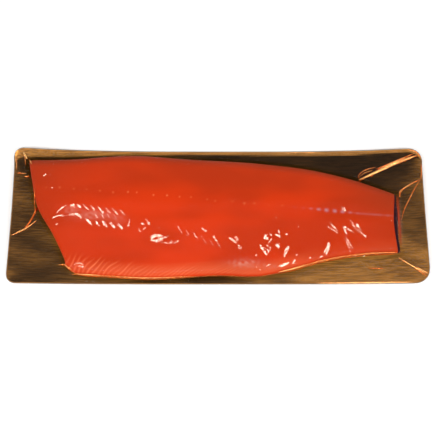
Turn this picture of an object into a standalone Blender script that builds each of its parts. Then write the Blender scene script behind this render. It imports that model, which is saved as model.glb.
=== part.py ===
"""Vacuum-packed side of smoked salmon on a gold-faced card.

X runs along the pack from the shoulder cut to the tail, Y from the belly edge to the back edge, Z up.
The origin is on the underside, in the middle of the pack's footprint. All lengths are in metres.

From the underside up: a back web of film, the card, and on it the fillet, which is its skin and its
flesh. A front web of film clings over the fillet and the card and turns down round the card's rim.
The ends of the card bow up, as the shrunk film pulls them, and everything on it follows that bow.
"""

import bmesh
import bpy
import numpy as np

# Card
CARD_LENGTH = 0.600
CARD_WIDTH = 0.200
CARD_THICKNESS = 0.0016
# Corner radii, by end and side: the shoulder end is at -X, the back side at +Y.
CORNER_RADIUS = {(-1, 1): 0.014, (1, 1): 0.020, (-1, -1): 0.013, (1, -1): 0.022}

# Bow of the whole pack: a flat middle to rest on, then a parabola up to each end.
FLAT_HALF_LENGTH = 0.060
END_RISE = {-1: 0.013, 1: 0.013}
CORNER_CURL = {(-1, 1): 0.006, (1, 1): 0.004, (-1, -1): 0.002, (1, -1): 0.001}
CURL_REACH = 0.110

# Film and the clearance between touching pieces
FILM_THICKNESS = 0.0005
GAP = 0.0003
# Film can't turn sharply down round the card's cut edge.
RIM_GAP = 0.0008

# Fillet, seen from above: (x, y) stations along the back and belly edges
BACK_EDGE = ((-0.290, 0.079), (-0.215, 0.083), (-0.125, 0.090), (-0.050, 0.085), (0.065, 0.078),
             (0.140, 0.068), (0.200, 0.052), (0.262, 0.028))
BELLY_EDGE = ((-0.290, -0.082), (-0.172, -0.0885), (-0.102, -0.092), (0.000, -0.0875), (0.062, -0.088),
              (0.102, -0.080), (0.142, -0.069), (0.195, -0.0595), (0.262, -0.056))
# Shoulder cut: (share of the way from the belly edge to the back edge, x)
HEAD_CUT = ((0.00, -0.200), (0.04, -0.213), (0.12, -0.219), (0.32, -0.236), (0.55, -0.259),
            (0.80, -0.270), (1.00, -0.277))
TAIL_CUT = ((0.00, 0.2560), (0.50, 0.2525), (1.00, 0.2565))
SKIN_THICKNESS = 0.0010
# The skin reaches past the flesh at the tail, where the knife slipped under the last slice.
SKIN_TAIL_MARGIN = 0.0035

# Thickness of the flesh along its loin ridge, and what share of that is left at the belly edge
LOIN_THICKNESS = ((-0.280, 0.0200), (-0.200, 0.0255), (-0.080, 0.0265), (0.030, 0.0235),
                  (0.130, 0.0175), (0.200, 0.0130), (0.262, 0.0100))
BELLY_SHARE = ((-0.280, 0.42), (-0.100, 0.36), (0.060, 0.42), (0.160, 0.62), (0.262, 0.80))
RIDGE_AT = 0.66
BACK_SHARE = 0.80
GROOVE_AT = 0.52
GROOVE_DEPTH = 0.0008
GROOVE_HALF_WIDTH = 0.07
# Rounding of each edge: (radius in plan, share of the thickness left standing at the edge itself)
BACK_ROUNDING = (0.016, 0.25)
BELLY_ROUNDING = (0.014, 0.30)
HEAD_ROUNDING = (0.010, 0.50)
TAIL_ROUNDING = (0.006, 0.62)

# How the front web leaves the fillet: it stands off its edge, then runs down to the card.
TENT_REACH = 0.016
TENT_SHARE = 0.45

# Facets
FILLET_COLUMNS = 36
FILLET_ROWS = 14
SKIN_COLUMNS = 26
SKIN_ROWS = 6
APRON_RINGS = 4
CARD_COLUMNS = 18
CARD_ROWS = 6
CORNER_STEPS = 5

# Levels above the pack's underside
BACK_WEB_TOP = FILM_THICKNESS
CARD_BOTTOM = BACK_WEB_TOP + GAP
CARD_TOP = CARD_BOTTOM + CARD_THICKNESS
SKIN_BOTTOM = CARD_TOP + GAP
SKIN_TOP = SKIN_BOTTOM + SKIN_THICKNESS
FLESH_BOTTOM = SKIN_TOP + GAP
APRON_INSIDE = CARD_TOP + GAP


def smooth_curve(stations, at):
    """A smooth curve through stations of (position, value), as cubic Hermite spans."""
    position, value = np.array(stations, float).T
    slope = np.gradient(value, position)
    at = np.clip(at, position[0], position[-1])
    k = np.clip(np.searchsorted(position, at, side="right") - 1, 0, len(position) - 2)
    span = position[k + 1] - position[k]
    t = (at - position[k]) / span
    return (
        value[k] * (2 * t**3 - 3 * t**2 + 1)
        + value[k + 1] * (3 * t**2 - 2 * t**3)
        + slope[k] * span * (t**3 - 2 * t**2 + t)
        + slope[k + 1] * span * (t**3 - t**2)
    )


def smoothstep(t):
    t = np.clip(t, 0.0, 1.0)
    return t * t * (3 - 2 * t)


def bow(x, y):
    """Height of the pack's underside: zero in the middle, parabolas up to the ends, and curled corners."""
    reach = CARD_LENGTH / 2 - FLAT_HALF_LENGTH
    past = np.maximum(np.abs(x) - FLAT_HALF_LENGTH, 0.0) / reach
    height = np.where(x < 0, END_RISE[-1], END_RISE[1]) * past**2
    for (end, side), curl in CORNER_CURL.items():
        distance = np.hypot(x - end * CARD_LENGTH / 2, y - side * CARD_WIDTH / 2)
        height = height + curl * np.clip(1 - distance / CURL_REACH, 0, 1) ** 2
    return height


def eased(count, ease):
    """Parameters from 0 to 1 that crowd towards both ends, as the ease goes from 0 to 1."""
    t = np.linspace(0.0, 1.0, count + 1)
    return (1 - ease) * t + ease * (0.5 - 0.5 * np.cos(np.pi * t))


def fillet_plan(s, v, tail_margin=0.0):
    """(x, y) of the fillet at share s of its length and share v of its width."""
    head = smooth_curve(HEAD_CUT, v)
    tail = smooth_curve(TAIL_CUT, v) + tail_margin
    x = head + (tail - head) * s
    belly = smooth_curve(BELLY_EDGE, x)
    back = smooth_curve(BACK_EDGE, x)
    return x, belly + (back - belly) * v


def rounded(distance, rounding, lift=0.0):
    """Share of the full thickness at this distance in from an edge: a quarter ellipse above an upright cut."""
    radius, standing = rounding
    inward = 1 - np.clip(distance / radius, 0, 1)
    standing = standing + (1 - standing) * lift
    return standing + (1 - standing) * np.sqrt(1 - inward**2)


def flesh_height(s, v, lift=0.0):
    """Thickness of the flesh at (s, v). With lift, the edges are drawn up, as film bridges them."""
    x, _ = fillet_plan(s, v)
    width = smooth_curve(BACK_EDGE, x) - smooth_curve(BELLY_EDGE, x)
    length = TAIL_CUT[0][1] - HEAD_CUT[0][1]
    loin = smooth_curve(LOIN_THICKNESS, x)
    belly_share = smooth_curve(BELLY_SHARE, x)
    rise = belly_share + (1 - belly_share) * smoothstep(v / RIDGE_AT)
    fall = 1 - (1 - BACK_SHARE) * smoothstep((v - RIDGE_AT) / (1 - RIDGE_AT))
    groove = GROOVE_DEPTH * np.exp(-(((v - GROOVE_AT) / GROOVE_HALF_WIDTH) ** 2))
    edges = (
        rounded((1 - v) * width, BACK_ROUNDING, lift)
        * rounded(v * width, BELLY_ROUNDING, lift)
        * rounded(s * length, HEAD_ROUNDING, lift)
        * rounded((1 - s) * length, TAIL_ROUNDING, lift)
    )
    return (loin * rise * fall - groove) * edges


def rim_points(offset, side_steps):
    """The card's outline pushed out by offset, from the shoulder end's belly corner, anticlockwise.

    side_steps gives how many steps each side takes, corner to corner, in the same order as the sides:
    belly side, tail end, back side, shoulder end. Each corner is met in the middle of its arc.
    """
    half = np.array([CARD_LENGTH / 2, CARD_WIDTH / 2])
    corners = ((-1, -1), (1, -1), (1, 1), (-1, 1))
    start_angle = {(-1, -1): np.pi, (1, -1): 1.5 * np.pi, (1, 1): 0.0, (-1, 1): 0.5 * np.pi}

    def half_arc(corner, second):
        radius = CORNER_RADIUS[corner]
        turn = np.linspace(0.25, 0.5, CORNER_STEPS) if second else np.linspace(0, 0.25, CORNER_STEPS)
        angle = start_angle[corner] + np.pi * turn
        centre = np.array(corner) * (half - radius)
        return centre + (radius + offset) * np.column_stack([np.cos(angle), np.sin(angle)])

    points = []
    for k, steps in enumerate(side_steps):
        path = np.vstack([half_arc(corners[k], True), half_arc(corners[(k + 1) % 4], False)])
        along = np.concatenate([[0], np.cumsum(np.hypot(*np.diff(path, axis=0).T))])
        wanted = eased(steps, 0.6)[:-1] * along[-1]
        points.append(np.column_stack([np.interp(wanted, along, path[:, i]) for i in range(2)]))
    return np.vstack(points)


def new_object(name, mesh, colour, roughness, metallic=0.0, alpha=1.0):
    """An object with its own material."""
    mesh.normal_update()
    data = bpy.data.meshes.new(name)
    mesh.to_mesh(data)
    mesh.free()
    data.shade_smooth()
    data.set_sharp_from_angle(angle=np.radians(40))
    material = bpy.data.materials.new(name)
    material.use_nodes = True
    shader = material.node_tree.nodes["Principled BSDF"]
    shader.inputs["Base Color"].default_value = (*colour, 1.0)
    shader.inputs["Roughness"].default_value = roughness
    shader.inputs["Metallic"].default_value = metallic
    shader.inputs["Alpha"].default_value = alpha
    data.materials.append(material)
    made = bpy.data.objects.new(name, data)
    bpy.context.scene.collection.objects.link(made)
    return made


def layer(lower, upper, faces):
    """A closed layer: faces over the lower points, extruded, and the copy moved to the upper points."""
    mesh = bmesh.new()
    low = [mesh.verts.new(point) for point in lower]
    made = [mesh.faces.new([low[i] for i in face]) for face in faces]
    for face in made:
        face.normal_flip()
    mesh.verts.index_update()
    places = {tuple(vert.co): point for vert, point in zip(low, upper, strict=True)}
    grown = bmesh.ops.extrude_face_region(mesh, geom=made, use_keep_orig=True)["geom"]
    for item in grown:
        if isinstance(item, bmesh.types.BMVert):
            item.co = places[tuple(item.co)]
    bmesh.ops.recalc_face_normals(mesh, faces=mesh.faces)
    return mesh


def grid_faces(columns, rows):
    """Quads of a grid whose points run along its rows, one column after another."""
    corner = np.add.outer(np.arange(columns) * (rows + 1), np.arange(rows)).ravel()
    return np.column_stack([corner, corner + rows + 1, corner + rows + 2, corner + 1])


def at_level(x, y, level):
    """Points at a level above the bowed underside."""
    return np.column_stack([x.ravel(), y.ravel(), (bow(x, y) + level).ravel()])


def card_grid(offset):
    """Plan of the card pushed out by offset: columns that the rounded corners shorten."""
    half_length = CARD_LENGTH / 2 + offset
    half_width = CARD_WIDTH / 2 + offset
    quarter = np.linspace(0, np.pi / 2, CORNER_STEPS)
    widest = max(CORNER_RADIUS.values()) + offset
    into_end = widest * (1 - np.cos(quarter))[:-1]
    middle = np.linspace(-half_length + widest, half_length - widest, CARD_COLUMNS + 1)
    x = np.concatenate([-half_length + into_end, middle, (half_length - into_end)[::-1]])

    def inset(side):
        """How far each column's end at this side is drawn in by the corner arcs."""
        drawn_in = np.zeros_like(x)
        for end in (-1, 1):
            radius = CORNER_RADIUS[end, side] + offset
            beyond = np.clip(np.abs(x) - (half_length - radius), 0, radius) * (np.sign(x) == end)
            drawn_in += radius - np.sqrt(radius**2 - beyond**2)
        return drawn_in

    low, high = -half_width + inset(-1), half_width - inset(1)
    v = np.linspace(0, 1, CARD_ROWS + 1)
    y = low[:, None] + (high - low)[:, None] * v
    return np.broadcast_to(x[:, None], y.shape), y, grid_faces(len(x) - 1, CARD_ROWS)


def make_card():
    x, y, faces = card_grid(0.0)
    mesh = layer(at_level(x, y, CARD_BOTTOM), at_level(x, y, CARD_TOP), faces)
    return new_object("board", mesh, (0.30, 0.16, 0.045), 0.25, metallic=1.0)


def make_back_web():
    x, y, faces = card_grid(RIM_GAP + FILM_THICKNESS)
    mesh = layer(at_level(x, y, 0.0), at_level(x, y, BACK_WEB_TOP), faces)
    return new_object("film_back", mesh, (0.95, 0.95, 0.95), 0.1, alpha=0.3)


def make_skin():
    s, v = np.meshgrid(eased(SKIN_COLUMNS, 0.3), eased(SKIN_ROWS, 0.3), indexing="ij")
    x, y = fillet_plan(s, v, SKIN_TAIL_MARGIN)
    mesh = layer(at_level(x, y, SKIN_BOTTOM), at_level(x, y, SKIN_TOP), grid_faces(SKIN_COLUMNS, SKIN_ROWS))
    return new_object("skin", mesh, (0.10, 0.10, 0.13), 0.3)


def fillet_grid():
    """(s, v) of the points that the flesh and the front web share."""
    return np.meshgrid(eased(FILLET_COLUMNS, 0.75), eased(FILLET_ROWS, 0.85), indexing="ij")


def make_flesh():
    s, v = fillet_grid()
    x, y = fillet_plan(s, v)
    upper = at_level(x, y, FLESH_BOTTOM + flesh_height(s, v))
    mesh = layer(at_level(x, y, FLESH_BOTTOM), upper, grid_faces(FILLET_COLUMNS, FILLET_ROWS))
    return new_object("flesh", mesh, (0.66, 0.055, 0.012), 0.35)


def fillet_loop():
    """Indices of the fillet grid's outer points, from the shoulder's belly corner, anticlockwise."""
    index = np.arange((FILLET_COLUMNS + 1) * (FILLET_ROWS + 1)).reshape(FILLET_COLUMNS + 1, FILLET_ROWS + 1)
    return np.concatenate([index[:-1, 0], index[-1, :-1], index[:0:-1, -1], index[0, :0:-1]])


def make_front_web():
    """The fillet's own grid, drawn over its edges, then rings of quads out to the card's rim and down it."""
    s, v = fillet_grid()
    x, y = fillet_plan(s, v)
    loop = fillet_loop()
    side_steps = (FILLET_COLUMNS, FILLET_ROWS, FILLET_COLUMNS, FILLET_ROWS)
    over = FLESH_BOTTOM + flesh_height(s, v, TENT_SHARE) + GAP
    lower = [at_level(x, y, over)]
    upper = [at_level(x, y, over + FILM_THICKNESS)]

    edge = np.column_stack([x.ravel(), y.ravel()])[loop]
    edge_level = over.ravel()[loop]
    rim = rim_points(0.0, side_steps)
    for share in eased(APRON_RINGS, 0.5)[1:]:
        ring = edge + (rim - edge) * share
        away = np.hypot(*(ring - edge).T)
        drop = np.clip(1 - away / TENT_REACH, 0, 1) ** 2
        level = APRON_INSIDE + (edge_level - APRON_INSIDE) * drop
        lower.append(at_level(ring[:, 0], ring[:, 1], level))
        upper.append(at_level(ring[:, 0], ring[:, 1], level + FILM_THICKNESS))
    inner = rim_points(RIM_GAP, side_steps)
    outer = rim_points(RIM_GAP + FILM_THICKNESS, side_steps)
    for inner_level, outer_level in ((APRON_INSIDE, APRON_INSIDE + FILM_THICKNESS), (CARD_BOTTOM, CARD_BOTTOM)):
        lower.append(np.column_stack([inner, bow(*rim.T) + inner_level]))
        upper.append(np.column_stack([outer, bow(*rim.T) + outer_level]))

    faces = [tuple(face) for face in grid_faces(FILLET_COLUMNS, FILLET_ROWS)]
    previous = loop
    count = lower[0].shape[0]
    for ring_number in range(len(lower) - 1):
        current = count + ring_number * len(loop) + np.arange(len(loop))
        faces += zip(previous, current, np.roll(current, -1), np.roll(previous, -1), strict=True)
        previous = current
    mesh = layer(np.vstack(lower), np.vstack(upper), faces)
    return new_object("film_front", mesh, (0.95, 0.95, 0.95), 0.1, alpha=0.3)


def clear_scene():
    for thing in list(bpy.data.objects):
        bpy.data.objects.remove(thing, do_unlink=True)


def main():
    clear_scene()
    make_back_web()
    make_card()
    make_skin()
    make_flesh()
    make_front_web()


main()
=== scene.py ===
"""A vacuum-packed side of smoked salmon: gold card, skin, flesh and clear film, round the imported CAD."""

from __future__ import annotations

import logging
import math
from collections.abc import Sequence
from dataclasses import dataclass
from enum import Enum

import bpy
import numpy as np
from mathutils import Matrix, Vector

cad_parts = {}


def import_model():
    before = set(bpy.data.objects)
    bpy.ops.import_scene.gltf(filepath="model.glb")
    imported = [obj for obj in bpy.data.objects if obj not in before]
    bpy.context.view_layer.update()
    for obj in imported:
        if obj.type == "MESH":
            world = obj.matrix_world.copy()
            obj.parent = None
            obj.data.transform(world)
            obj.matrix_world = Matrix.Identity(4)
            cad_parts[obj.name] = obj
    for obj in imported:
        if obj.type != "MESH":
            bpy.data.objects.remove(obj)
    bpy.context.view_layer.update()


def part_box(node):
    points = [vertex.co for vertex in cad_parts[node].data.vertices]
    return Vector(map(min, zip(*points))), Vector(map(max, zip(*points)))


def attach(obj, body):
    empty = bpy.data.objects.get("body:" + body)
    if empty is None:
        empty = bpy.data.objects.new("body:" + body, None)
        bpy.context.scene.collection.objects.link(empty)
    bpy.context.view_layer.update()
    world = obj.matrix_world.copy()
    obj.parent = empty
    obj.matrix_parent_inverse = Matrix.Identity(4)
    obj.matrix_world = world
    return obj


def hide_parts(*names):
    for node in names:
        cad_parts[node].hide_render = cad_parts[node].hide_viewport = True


Array = np.ndarray
Pair = tuple[float, float]
Colour = tuple[float, float, float]
Stations = tuple[Pair, ...]

LOG = logging.getLogger("salmon_pack")
SEED = 20


class Side(Enum):
    """A long side of the fish: its sign says which way it lies across the pack."""

    BELLY = -1
    BACK = 1


class Mask(Enum):
    """Names of the point attributes that the finishes read."""

    CUT_EDGE = "cut_edge"
    FAT = "fat"
    BROWN = "brown"
    GREY = "grey"
    SPOT = "spot"
    PAINTED_SHEEN = "painted_sheen"
    JUICE = "juice"
    REFLECTION_TINT = "reflection_tint"
    GLOSS = "gloss"


# ---------------------------------------------------------------------------------------------------
# Curves and meshes
# ---------------------------------------------------------------------------------------------------


def smooth_curve(stations: Stations, at: Array) -> Array:
    """Value of a smooth curve through stations: cubic Hermite spans, their slopes by central differences.

    Args:
        stations: (position, value) pairs in rising order of position.
        at: Positions to read. Those past the last stations take the end values.

    Returns:
        The curve's value at each position.
    """
    position, value = np.array(stations, float).T
    slope = np.gradient(value, position)
    at = np.clip(at, position[0], position[-1])
    k = np.clip(np.searchsorted(position, at, side="right") - 1, 0, len(position) - 2)
    span = position[k + 1] - position[k]
    t = (at - position[k]) / span
    ends = value[k] * (2 * t**3 - 3 * t**2 + 1) + value[k + 1] * (3 * t**2 - 2 * t**3)
    return ends + slope[k] * span * (t**3 - 2 * t**2 + t) + slope[k + 1] * span * (t**3 - t**2)


def smoothstep(low: float | Array, high: float | Array, value: Array) -> Array:
    """A smooth step from 0 at low to 1 at high: 3 t squared less 2 t cubed."""
    t = np.clip((value - low) / (high - low), 0.0, 1.0)
    return t * t * (3 - 2 * t)


def bell(offset: Array, width: float | Array) -> Array:
    """A bell curve of the offset: e to the power of minus (offset / width) squared."""
    return np.exp(-((offset / width) ** 2))


def eased(count: int, ease: float) -> Array:
    """Parameters from 0 to 1 that crowd towards both ends, as a mix of an even and a cosine spacing."""
    t = np.linspace(0.0, 1.0, count)
    return (1 - ease) * t + ease * (0.5 - 0.5 * np.cos(np.pi * t))


def waves(x: Array, y: Array, seed: int, size: float, count: int = 9) -> Array:
    """Smooth seeded ripple between about -1 and 1: a sum of sines of x and y in random directions.

    Args:
        x: Positions along the pack.
        y: Positions across the pack.
        seed: Which ripple.
        size: Typical wavelength in metres.
        count: How many sines.

    Returns:
        The ripple's value at each point.
    """
    rng = np.random.default_rng(seed)
    turn = rng.uniform(0, 2 * np.pi, count)
    pitch = 2 * np.pi / (size * rng.uniform(0.7, 1.6, count))
    phase = rng.uniform(0, 2 * np.pi, count)
    place = (
        np.multiply.outer(x, np.cos(turn) * pitch)
        + np.multiply.outer(y, np.sin(turn) * pitch)
        + phase
    )
    return np.sin(place).sum(axis=-1) * math.sqrt(2 / count) * 0.7


@dataclass
class Shell:
    """Points, faces and point masks of one closed piece, before Blender holds them."""

    points: Array
    faces: list[Sequence[int]]
    masks: dict[Mask, Array]

    def to_object(self, name: str, sharp_degrees: float = 50.0) -> bpy.types.Object:
        """Puts the shell in a smooth-shaded mesh object at the origin.

        Args:
            name: The piece's name.
            sharp_degrees: Edges sharper than this stay creased.

        Returns:
            The new object, linked to the scene.
        """
        mesh = bpy.data.meshes.new(name)
        mesh.from_pydata(self.points.tolist(), [], self.faces)
        for mask, values in self.masks.items():
            layer = mesh.attributes.new(mask.value, "FLOAT", "POINT")
            layer.data.foreach_set("value", np.ascontiguousarray(values, np.float32))
        mesh.validate()
        mesh.shade_smooth()
        mesh.set_sharp_from_angle(angle=math.radians(sharp_degrees))
        piece = bpy.data.objects.new(name, mesh)
        bpy.context.scene.collection.objects.link(piece)
        return piece


def slab_shell(rings: list[Array], masks: dict[Mask, Array], under_step: int) -> Shell:
    """Closes a top sheet into a slab: its border drops through rings to an underside of wide rows.

    Args:
        rings: Grids of shape (columns, rows, 3). The first is the top sheet. Only the border is used of
            each one between, and the last gives the underside.
        masks: Point masks on the top grid, which the walls and the underside carry on down.
        under_step: Rows of the top grid for each row of the underside.

    Returns:
        The closed shell, all its faces outwards.
    """
    columns, rows = rings[0].shape[:2]
    index = np.arange(columns * rows).reshape(columns, rows)
    quads = np.stack([index[:-1, :-1], index[1:, :-1], index[1:, 1:], index[:-1, 1:]], axis=-1)
    border = np.concatenate([index[:, 0], index[-1, 1:], index[-2::-1, -1], index[0, -2:0:-1]])
    points = [rings[0].reshape(-1, 3)]
    source = [index.reshape(-1)]
    faces = [quads.reshape(-1, 4)]
    above = border
    start = columns * rows
    for ring in rings[1:]:
        below = start + np.arange(len(border))
        points.append(ring.reshape(-1, 3)[border])
        source.append(border)
        start += len(border)
        faces.append(np.stack([above, below, np.roll(below, -1), np.roll(above, -1)], axis=-1))
        above = below
    lower = np.full((columns, rows), -1)
    lower.reshape(-1)[border] = above
    marks = np.unique(np.append(np.arange(0, rows, under_step), rows - 1))
    inner = index[1:-1, marks[1:-1]]
    lower[1:-1, marks[1:-1]] = start + np.arange(inner.size).reshape(inner.shape)
    points.append(rings[-1].reshape(-1, 3)[inner.reshape(-1)])
    source.append(inner.reshape(-1))
    coarse = lower[1:-1][:, marks]
    faces.append(
        np.stack(
            [coarse[:-1, :-1], coarse[:-1, 1:], coarse[1:, 1:], coarse[1:, :-1]], axis=-1
        ).reshape(-1, 4)
    )
    every = [face for part in faces for face in part.tolist()]
    for low, high in zip(marks[:-1], marks[1:]):
        first = lower[0, low : high + 1].tolist()
        every.append([*first, int(lower[1, high]), int(lower[1, low])])
        last = lower[-1, low : high + 1].tolist()
        every.append([int(lower[-2, low]), int(lower[-2, high]), *last[::-1]])
    origin = np.concatenate(source)
    carried = {mask: values.reshape(-1)[origin] for mask, values in masks.items()}
    return Shell(np.vstack(points), every, carried)


# ---------------------------------------------------------------------------------------------------
# The pack's form
# ---------------------------------------------------------------------------------------------------


@dataclass(frozen=True)
class PackForm:
    """The shape that every piece of the pack shares, in metres, as the CAD has it."""

    length: float
    width: float
    card_bottom: float
    card_top: float
    skin_bottom: float
    flesh_bottom: float
    rim_half_length: float
    rim_half_width: float
    flat_half_length: float = 0.060
    end_rise: float = 0.013
    curl_reach: float = 0.110
    curls: tuple[tuple[int, int, float], ...] = (
        (-1, 1, 0.006),
        (1, 1, 0.004),
        (-1, -1, 0.002),
        (1, -1, 0.001),
    )
    radii: tuple[tuple[int, int, float], ...] = (
        (-1, 1, 0.014),
        (1, 1, 0.020),
        (-1, -1, 0.013),
        (1, -1, 0.022),
    )
    back_edge: Stations = (
        (-0.290, 0.079),
        (-0.215, 0.083),
        (-0.125, 0.090),
        (-0.050, 0.085),
        (0.065, 0.078),
        (0.140, 0.068),
        (0.200, 0.052),
        (0.262, 0.028),
    )
    belly_edge: Stations = (
        (-0.290, -0.082),
        (-0.172, -0.0885),
        (-0.102, -0.092),
        (0.000, -0.0875),
        (0.062, -0.088),
        (0.102, -0.080),
        (0.142, -0.069),
        (0.195, -0.0595),
        (0.262, -0.056),
    )
    head_cut: Stations = (
        (0.00, -0.200),
        (0.04, -0.213),
        (0.12, -0.219),
        (0.32, -0.236),
        (0.55, -0.259),
        (0.80, -0.270),
        (1.00, -0.277),
    )
    tail_cut: Stations = ((0.00, 0.2560), (0.50, 0.2525), (1.00, 0.2565))
    loin: Stations = (
        (-0.280, 0.0200),
        (-0.200, 0.0255),
        (-0.080, 0.0265),
        (0.030, 0.0235),
        (0.130, 0.0175),
        (0.200, 0.0130),
        (0.262, 0.0100),
    )
    belly_share: Stations = (
        (-0.280, 0.42),
        (-0.100, 0.36),
        (0.060, 0.42),
        (0.160, 0.62),
        (0.262, 0.80),
    )
    ridge_at: float = 0.66
    back_share: float = 0.80
    groove_at: float = 0.52
    groove_depth: float = 0.0008
    groove_half_width: float = 0.07
    back_rounding: Pair = (0.016, 0.25)
    belly_rounding: Pair = (0.014, 0.30)
    head_rounding: Pair = (0.010, 0.50)
    tail_rounding: Pair = (0.006, 0.62)
    film_gap: float = 0.0006
    film_lift: float = 0.30
    tent_reach: float = 0.0075
    cut_slant: float = 0.90

    @classmethod
    def from_frame(cls) -> PackForm:
        """Reads the levels and the outline from the CAD nodes."""
        card_low, card_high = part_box("board")
        skin_low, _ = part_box("skin")
        flesh_low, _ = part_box("flesh")
        film_low, film_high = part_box("film_front")
        length = card_high.x - card_low.x
        thickness = 0.0016
        return cls(
            length=length,
            width=card_high.y - card_low.y,
            card_bottom=card_low.z,
            card_top=card_low.z + thickness,
            skin_bottom=skin_low.z,
            flesh_bottom=flesh_low.z,
            rim_half_length=film_high.x,
            rim_half_width=film_high.y,
        )

    def bow(self, x: Array, y: Array) -> Array:
        """Height of the pack's underside: level in the middle, parabolas to the ends, curled corners."""
        reach = self.length / 2 - self.flat_half_length
        past = np.maximum(np.abs(x) - self.flat_half_length, 0.0) / reach
        height = self.end_rise * past**2
        for end, side, curl in self.curls:
            away = np.hypot(x - end * self.length / 2, y - side * self.width / 2)
            height = height + curl * np.clip(1 - away / self.curl_reach, 0, 1) ** 2
        return height

    def outline(self, x: Array, side: Side, offset: float) -> Array:
        """Distance from the middle line to the rim at x, on one side: straight, then a corner's arc.

        Args:
            x: Positions along the pack.
            side: Which long side.
            offset: How far outside the card's own edge.

        Returns:
            The distance, over zero on both sides.
        """
        half = np.full(np.shape(x), self.width / 2 + offset)
        for end, across, radius in self.radii:
            if across != side.value:
                continue
            outer = radius + offset
            into = np.clip(end * x - (self.length / 2 - radius), 0, outer)
            half = half - (outer - np.sqrt(outer**2 - into**2))
        return half

    def sheet(self, columns: int, rows: int, offset: float, ease: float = 0.35) -> tuple[Array, Array]:
        """A grid over the card's outline: x from end to end, y between the two rims at each x.

        Args:
            columns: Points along the pack.
            rows: Points across it.
            offset: How far outside the card's own edge the grid ends.
            ease: How much the points crowd towards the rim.

        Returns:
            The x and the y of each point, as (columns, rows) arrays.
        """
        along = (2 * eased(columns, ease) - 1) * (self.length / 2 + offset)
        share = eased(rows, ease)
        low = -self.outline(along, Side.BELLY, offset)
        high = self.outline(along, Side.BACK, offset)
        x = np.repeat(along[:, None], rows, axis=1)
        return x, low[:, None] + (high - low)[:, None] * share[None, :]

    def fillet_plan(self, s: Array, v: Array, tail_edge: Array | None = None) -> tuple[Array, Array]:
        """Plan of the fillet at share s of its length and v of its width.

        Args:
            s: Share of the length from the shoulder cut to the tail cut.
            v: Share of the width from the belly to the back.
            tail_edge: Where the tail end lies, if not at the flesh's own cut.

        Returns:
            The x and the y of each point.
        """
        head = smooth_curve(self.head_cut, v)
        tail = smooth_curve(self.tail_cut, v) if tail_edge is None else tail_edge
        x = head + (tail - head) * s
        belly = smooth_curve(self.belly_edge, x)
        return x, belly + (smooth_curve(self.back_edge, x) - belly) * v

    def shares(self, x: Array, y: Array) -> tuple[Array, Array]:
        """Shares (s, v) of the fillet's length and width at (x, y), below 0 or above 1 off the fish."""
        belly = smooth_curve(self.belly_edge, x)
        v = (y - belly) / (smooth_curve(self.back_edge, x) - belly)
        level = np.clip(v, 0, 1)
        head = smooth_curve(self.head_cut, level)
        return (x - head) / (smooth_curve(self.tail_cut, level) - head), v

    @staticmethod
    def rounded(distance: Array, rounding: Pair, lift: float) -> Array:
        """Share of the full thickness at a distance in from an edge: a quarter ellipse on an upright cut."""
        radius, standing = rounding
        inward = 1 - np.clip(distance / radius, 0, 1)
        standing = standing + (1 - standing) * lift
        return standing + (1 - standing) * np.sqrt(1 - inward**2)

    def flesh_height(self, s: Array, v: Array, lift: float = 0.0) -> Array:
        """Thickness of the flesh at (s, v): the loin's ridge, falling to belly and back, rounded at the rim.

        Args:
            s: Share of the length.
            v: Share of the width.
            lift: How far the edges are drawn up, as film bridges them.

        Returns:
            The thickness in metres.
        """
        x, _ = self.fillet_plan(s, v)
        width = smooth_curve(self.back_edge, x) - smooth_curve(self.belly_edge, x)
        length = self.tail_cut[0][1] - self.head_cut[0][1]
        belly = smooth_curve(self.belly_share, x)
        rise = belly + (1 - belly) * smoothstep(0, self.ridge_at, v)
        fall = 1 - (1 - self.back_share) * smoothstep(self.ridge_at, 1, v)
        groove = self.groove_depth * bell(v - self.groove_at, self.groove_half_width)
        edges = (
            self.rounded((1 - v) * width, self.back_rounding, lift)
            * self.rounded(v * width, self.belly_rounding, lift)
            * self.rounded(s * length, self.head_rounding, lift)
            * self.rounded((1 - s) * length, self.tail_rounding, lift)
        )
        return (smooth_curve(self.loin, x) * rise * fall - groove) * edges

    def off_fish(self, x: Array, y: Array) -> Array:
        """Distance in plan from (x, y) to the fillet's edge, and 0 on the fillet."""
        s, v = self.shares(x, y)
        edge_x, edge_y = self.fillet_plan(np.clip(s, 0, 1), np.clip(v, 0, 1))
        off_end = np.where((s < 0) | (s > 1), np.abs(x - edge_x) * self.cut_slant, 0.0)
        off_side = np.where((v < 0) | (v > 1), np.abs(y - edge_y), 0.0)
        return np.hypot(off_end, off_side)

    def film_level(self, x: Array, y: Array) -> Array:
        """Top of the drawn film at (x, y).

        Over the fish it is the flesh's height with lifted edges. Outside, that height falls by a smooth
        step over the tent's reach, and past it the film lies on the card.

        Args:
            x: Positions along the pack.
            y: Positions across the pack.

        Returns:
            Height above the floor.
        """
        s, v = self.shares(x, y)
        away = self.off_fish(x, y)
        reach = self.tent_reach * (1 + 0.30 * waves(x, y, SEED, 0.055))
        height = self.flesh_height(np.clip(s, 0, 1), np.clip(v, 0, 1), self.film_lift)
        height = height * (1 - smoothstep(0, 1, away / reach)) ** 1.2
        on_card = self.card_top + 0.0004
        on_fish = self.flesh_bottom + self.film_gap + height
        share = smoothstep(0, 1, height / 0.0015)
        return self.bow(x, y) + on_card + (on_fish - on_card) * share


# ---------------------------------------------------------------------------------------------------
# Finishes
# ---------------------------------------------------------------------------------------------------

Value = float | Colour | bpy.types.NodeSocket


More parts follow.
